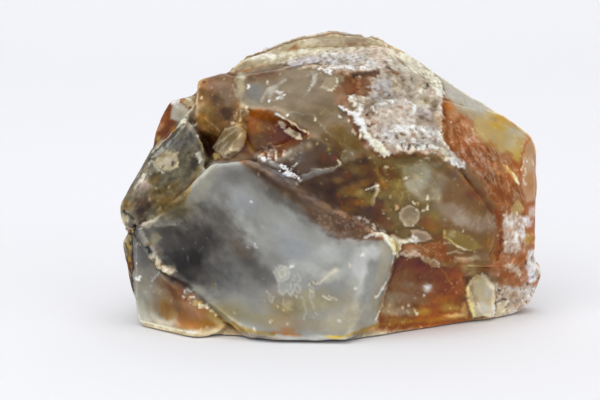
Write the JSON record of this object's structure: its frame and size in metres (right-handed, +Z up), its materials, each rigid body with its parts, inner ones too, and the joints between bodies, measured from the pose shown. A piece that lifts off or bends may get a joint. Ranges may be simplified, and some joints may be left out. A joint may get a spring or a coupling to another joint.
{
  "type": "rough limnosilicite",
  "caption": "Rough hand specimen of opal and chalcedony: a broken, faceted lump with a glassy grey window, rusty fracture faces and a white crust, flat underneath to stand upright.",
  "frame": {"origin": "middle of the stone's outline seen from above, on the level of its flat resting face", "axes": "+Z up, +X along the stone's longest side, -Y towards the viewer who faces the grey window"},
  "size_m": [0.0982, 0.048, 0.0645],
  "materials": {
    "chalcedony": "waxy to glassy broken chalcedony, smoke grey to rust brown, with a matt white crust"
  },
  "bodies": {
    "root": {"stone": "chalcedony"}
  },
  "joints": []
}
